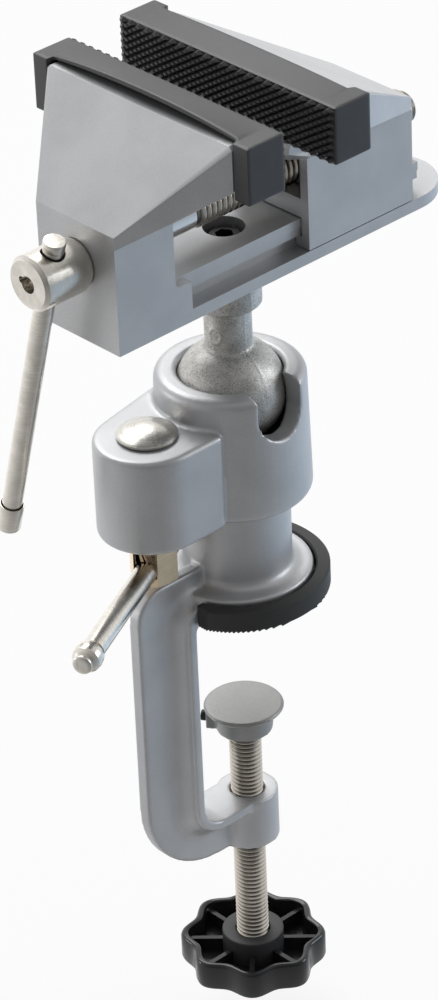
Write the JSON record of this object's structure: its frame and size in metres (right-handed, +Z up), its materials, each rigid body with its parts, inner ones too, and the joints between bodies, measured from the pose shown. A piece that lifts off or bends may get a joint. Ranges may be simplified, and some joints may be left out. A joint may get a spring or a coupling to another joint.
{
  "type": "swivel bench vise",
  "caption": "Small bench vise on a lockable ball joint, with a screw clamp for a table edge and soft-capped jaws moved by a hand-turned lead screw.",
  "frame": {"origin": "middle of the rubber pad's underside, on the post's axis, in the plane of the table top", "axes": "+Z up from the table top along the post, +X along the lead screw from the handle toward the moving jaw, +Y across the jaws"},
  "size_m": [0.1652, 0.0874, 0.3111],
  "materials": {
    "painted_aluminium": "silver paint",
    "cast_aluminium": "bare casting",
    "nickel_plate": "bright nickel plate",
    "plain_steel": "plated steel",
    "black_steel": "black oxide",
    "black_rubber": "matte",
    "black_plastic": "satin gloss"
  },
  "bodies": {
    "base": {"clamp_frame": "painted_aluminium", "rubber_pad": "black_rubber"},
    "foot": {"pressure_foot": "cast_aluminium", "foot_screw": "black_steel"},
    "clamp_spindle": {"clamp_screw": "plain_steel", "clamp_knob": "black_plastic"},
    "housing": {"ball_housing": "painted_aluminium", "locking_bolt": "nickel_plate", "lower_clamp_shoe": "plain_steel", "upper_clamp_shoe": "plain_steel"},
    "lock": {"locking_nut": "nickel_plate", "locking_bar": "nickel_plate", "locking_bar_end": "nickel_plate", "locking_bar_stop": "nickel_plate"},
    "ball": {"ball_stem": "cast_aluminium"},
    "head": {"vise_bed": "painted_aluminium", "stem_screw": "black_steel", "keeper_pin": "plain_steel", "fixed_jaw_cap": "black_rubber"},
    "jaw": {"moving_jaw": "painted_aluminium", "jaw_nut": "plain_steel", "moving_jaw_cap": "black_rubber"},
    "spindle": {"lead_screw": "nickel_plate", "spindle_hub": "nickel_plate"},
    "handle": {"handle_bar": "nickel_plate", "handle_end": "nickel_plate", "handle_tip": "nickel_plate"}
  },
  "joints": [
    {"name": "clamp_travel", "type": "slide", "parent": "base", "child": "foot", "axis": [0, 0, 1], "range_m": [-0.0195, 0.036]},
    {"name": "clamp_turn", "type": "hinge", "parent": "foot", "child": "clamp_spindle", "pos_m": [0, 0, -0.1], "axis": [0, 0, 1], "range_deg": [-4704, 8664]},
    {"name": "swivel", "type": "hinge", "parent": "base", "child": "housing", "pos_m": [0, 0, 0.0675], "axis": [0, 0, 1], "continuous": true},
    {"name": "lock_turn", "type": "hinge", "parent": "housing", "child": "lock", "pos_m": [-0.033, 0, 0.023], "axis": [0, 0, 1], "range_deg": [-60, 60]},
    {"name": "ball_tilt", "type": "hinge", "parent": "housing", "child": "ball", "pos_m": [0, 0, 0.0675], "axis": [1, 0, 0], "range_deg": [-40, 90]},
    {"name": "head_turn", "type": "hinge", "parent": "ball", "child": "head", "pos_m": [0, 0, 0.1073], "axis": [0, 0, 1], "continuous": true},
    {"name": "jaw_travel", "type": "slide", "parent": "head", "child": "jaw", "axis": [1, 0, 0], "range_m": [-0.016, 0.03]},
    {"name": "lead_screw_turn", "type": "hinge", "parent": "head", "child": "spindle", "pos_m": [-0.0654, 0, 0.1314], "axis": [-1, 0, 0], "range_deg": [-2904, 5424]},
    {"name": "handle_slide", "type": "slide", "parent": "spindle", "child": "handle", "axis": [0, -0.2672, 0.9636], "range_m": [0, 0.075]}
  ],
  "couplings": [
    {"joint": "clamp_turn", "follows": "clamp_travel", "rad_per_m": 4188.8},
    {"joint": "lead_screw_turn", "follows": "jaw_travel", "rad_per_m": 3141.6}
  ]
}
